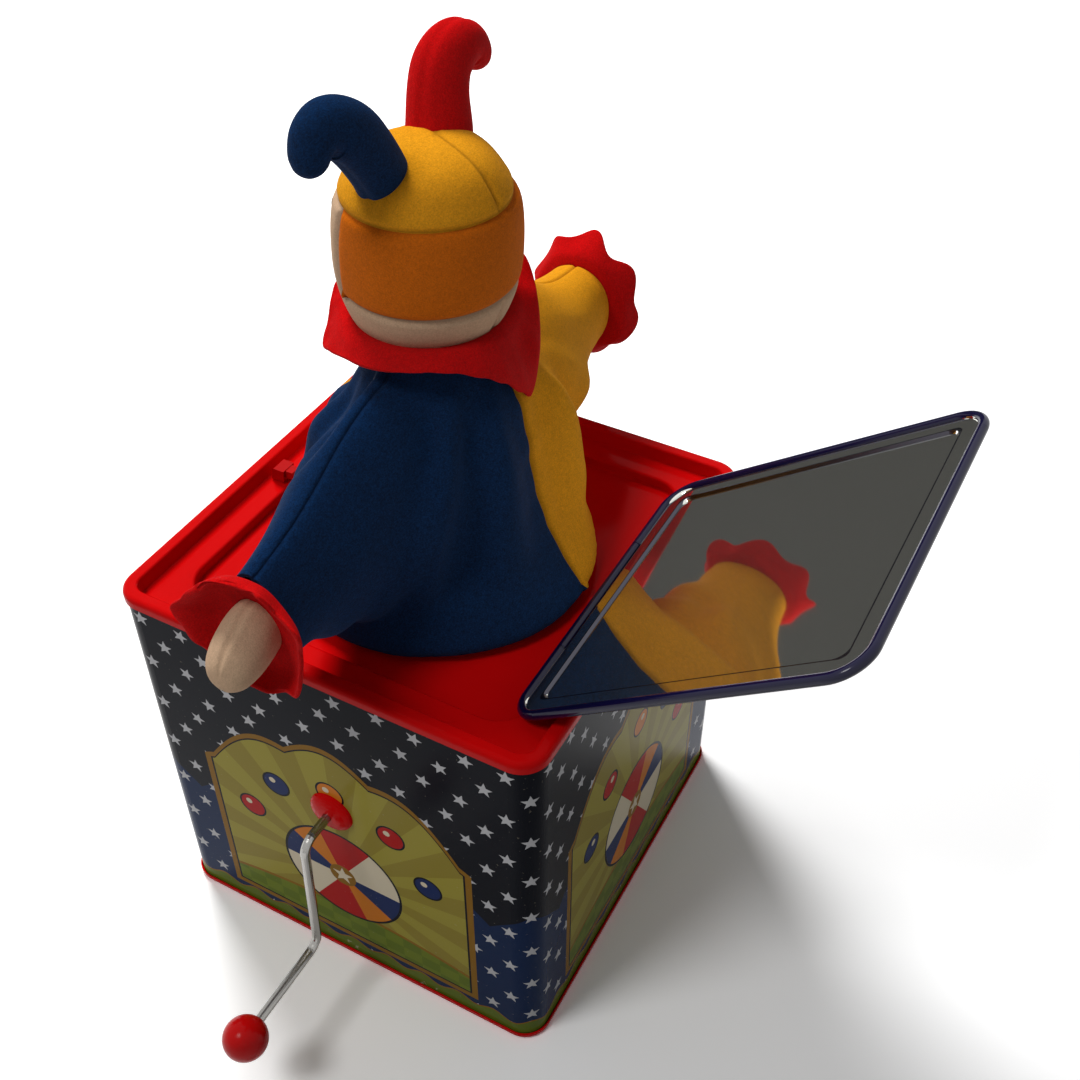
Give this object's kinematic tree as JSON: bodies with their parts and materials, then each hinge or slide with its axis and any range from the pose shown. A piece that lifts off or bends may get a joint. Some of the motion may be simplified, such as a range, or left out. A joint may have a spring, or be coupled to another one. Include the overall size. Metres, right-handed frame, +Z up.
{
  "type": "jack in the box",
  "caption": "Square tin musical jack-in-the-box with a cranked drum movement, a sprung catch, a mirror-faced hinged lid and a felt jester on a coil spring.",
  "frame": {"origin": "middle of the box's underside, on the surface it stands on", "axes": "+Z up; -Y is the front, with the catch; +Y is the hinge side, where the open lid leans back; +X is the crank side"},
  "size_m": [0.2382, 0.2139, 0.2876],
  "materials": {
    "printed_tin": "gloss lithographed tinplate",
    "red_tin": "gloss red paint",
    "navy_tin": "gloss navy paint",
    "red_cap": "gloss",
    "steel": "bright zinc plate",
    "chrome_wire": "bright",
    "brass": "satin",
    "plug_wood": "bare turned wood",
    "beige_felt": "short nap",
    "orange_felt": "short nap",
    "mustard_felt": "short nap",
    "navy_felt": "short nap",
    "red_felt": "short nap",
    "black_bead": "gloss"
  },
  "bodies": {
    "box": {"box_body": "printed_tin", "top_plate": "red_tin", "bottom_plate": "red_tin", "hinge_knuckle": "navy_tin", "hinge_pin": "steel", "hem_ring": "steel", "spring_seat": "steel", "coil_spring": "steel", "crank_bush": "red_tin", "movement_frame": "steel", "comb": "steel", "comb_screws": "steel", "latch_bracket": "steel", "latch_pin": "steel", "latch_spring": "steel"},
    "lid": {"lid": "navy_tin"},
    "crank": {"crank_wire": "chrome_wire", "crank_knob": "red_cap", "crank_pinion": "brass", "crank_clip": "steel"},
    "drum": {"tune_drum": "brass", "drum_wheel": "brass", "trip_cam": "brass", "drum_arbor": "steel", "arbor_clip": "steel"},
    "latch": {"latch_lever": "steel", "catch_cap": "red_cap"},
    "release": {"release_rod": "steel"},
    "jester": {"neck_plug": "plug_wood", "face": "beige_felt", "hair_band": "orange_felt", "cap": "mustard_felt", "navy_horn": "navy_felt", "red_horn": "red_felt", "nose": "red_felt", "eyes": "black_bead", "collar": "red_felt", "robe_navy": "navy_felt", "robe_yellow": "mustard_felt", "left_cuff": "red_felt", "right_cuff": "red_felt", "left_hand": "beige_felt", "right_hand": "beige_felt"}
  },
  "joints": [
    {"name": "lid_hinge", "type": "hinge", "parent": "box", "child": "lid", "pos_m": [0, 0.0542, 0.1368], "axis": [1, 0, 0], "range_deg": [0, 144]},
    {"name": "jester_slide", "type": "slide", "parent": "box", "child": "jester", "axis": [0, 0, -1], "range_m": [0, 0.14], "stiffness_N_per_m": 70, "springref_m": -0.02, "deforming": ["coil_spring", "robe_navy", "robe_yellow", "left_cuff", "right_cuff", "left_hand", "right_hand", "navy_horn", "red_horn"]},
    {"name": "crank_spin", "type": "hinge", "parent": "box", "child": "crank", "pos_m": [0.07, 0, 0.08], "axis": [1, 0, 0], "continuous": true},
    {"name": "drum_spin", "type": "hinge", "parent": "box", "child": "drum", "pos_m": [0.0515, -0.0225, 0.08], "axis": [1, 0, 0], "continuous": true},
    {"name": "latch_swing", "type": "hinge", "parent": "box", "child": "latch", "pos_m": [0, -0.0602, 0.04], "axis": [1, 0, 0], "range_deg": [0, 0.8], "stiffness_Nm_per_rad": 0.5, "springref_deg": -5.73, "deforming": ["latch_spring"]},
    {"name": "release_slide", "type": "slide", "parent": "box", "child": "release", "axis": [0, -1, 0], "range_m": [0, 0.0006]}
  ],
  "couplings": [
    {"joint": "jester_slide", "follows": "lid_hinge", "m_per_rad": 0.0557},
    {"joint": "drum_spin", "follows": "crank_spin", "ratio": -0.25},
    {"joint": "release_slide", "follows": "latch_swing", "m_per_rad": 0.04}
  ]
}
